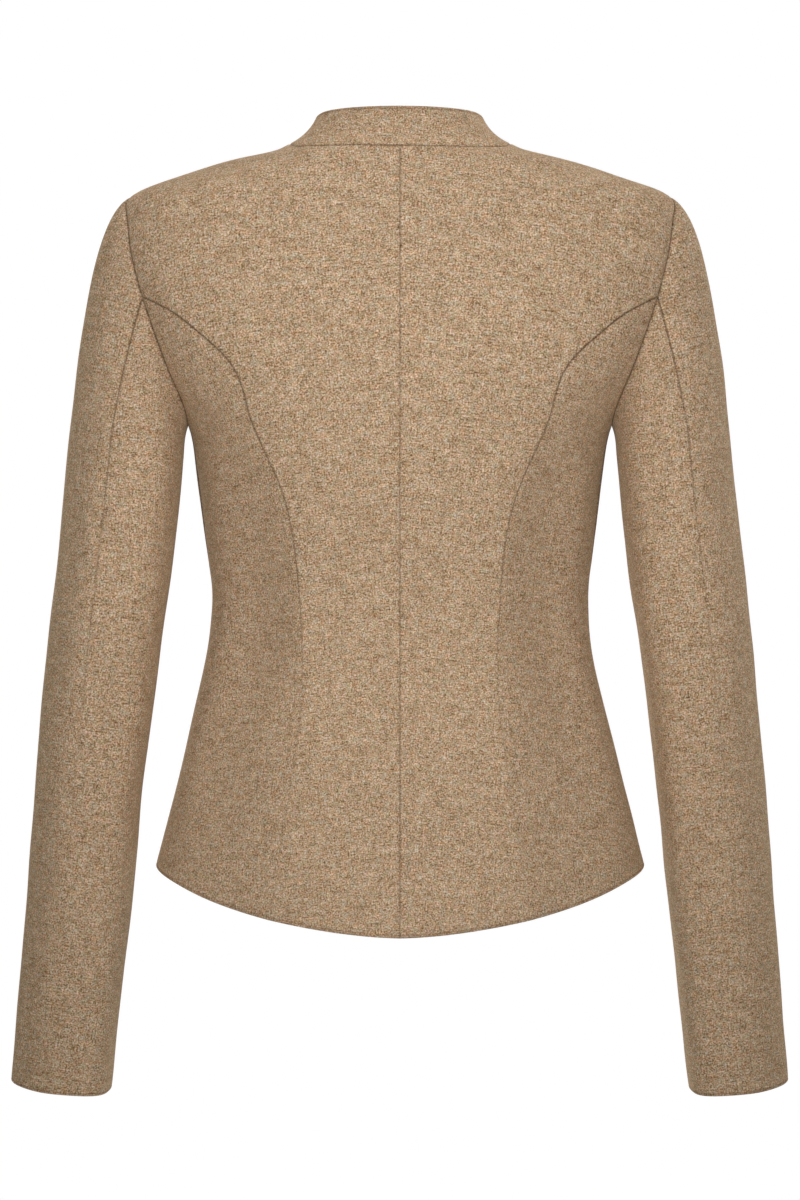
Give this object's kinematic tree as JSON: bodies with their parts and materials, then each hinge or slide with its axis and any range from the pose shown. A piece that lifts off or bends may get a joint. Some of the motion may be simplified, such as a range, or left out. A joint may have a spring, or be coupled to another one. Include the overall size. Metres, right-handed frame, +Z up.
{
  "type": "blazer",
  "caption": "Short fitted wool blazer with princess seams, a narrow stand collar, long two-piece sleeves and a flared, curved hem, filled out as worn",
  "frame": {"origin": "middle of the neck opening, level with the points where the shoulder seams meet the collar", "axes": "+Z up, the front faces -Y, the wearer's left is +X"},
  "size_m": [0.5502, 0.2483, 0.6917],
  "materials": {
    "loden": "matte melange wool, lightly milled",
    "horn": "satin"
  },
  "bodies": {
    "root": {"back_left": "loden", "back_right": "loden", "side_back_left": "loden", "side_back_right": "loden", "side_front_left": "loden", "side_front_right": "loden", "front_left": "loden", "front_right": "loden", "sleeve_upper_left": "loden", "sleeve_upper_right": "loden", "sleeve_under_left": "loden", "sleeve_under_right": "loden", "collar": "loden", "button_1": "horn", "button_2": "horn", "button_3": "horn", "button_4": "horn", "button_5": "horn"}
  },
  "joints": []
}
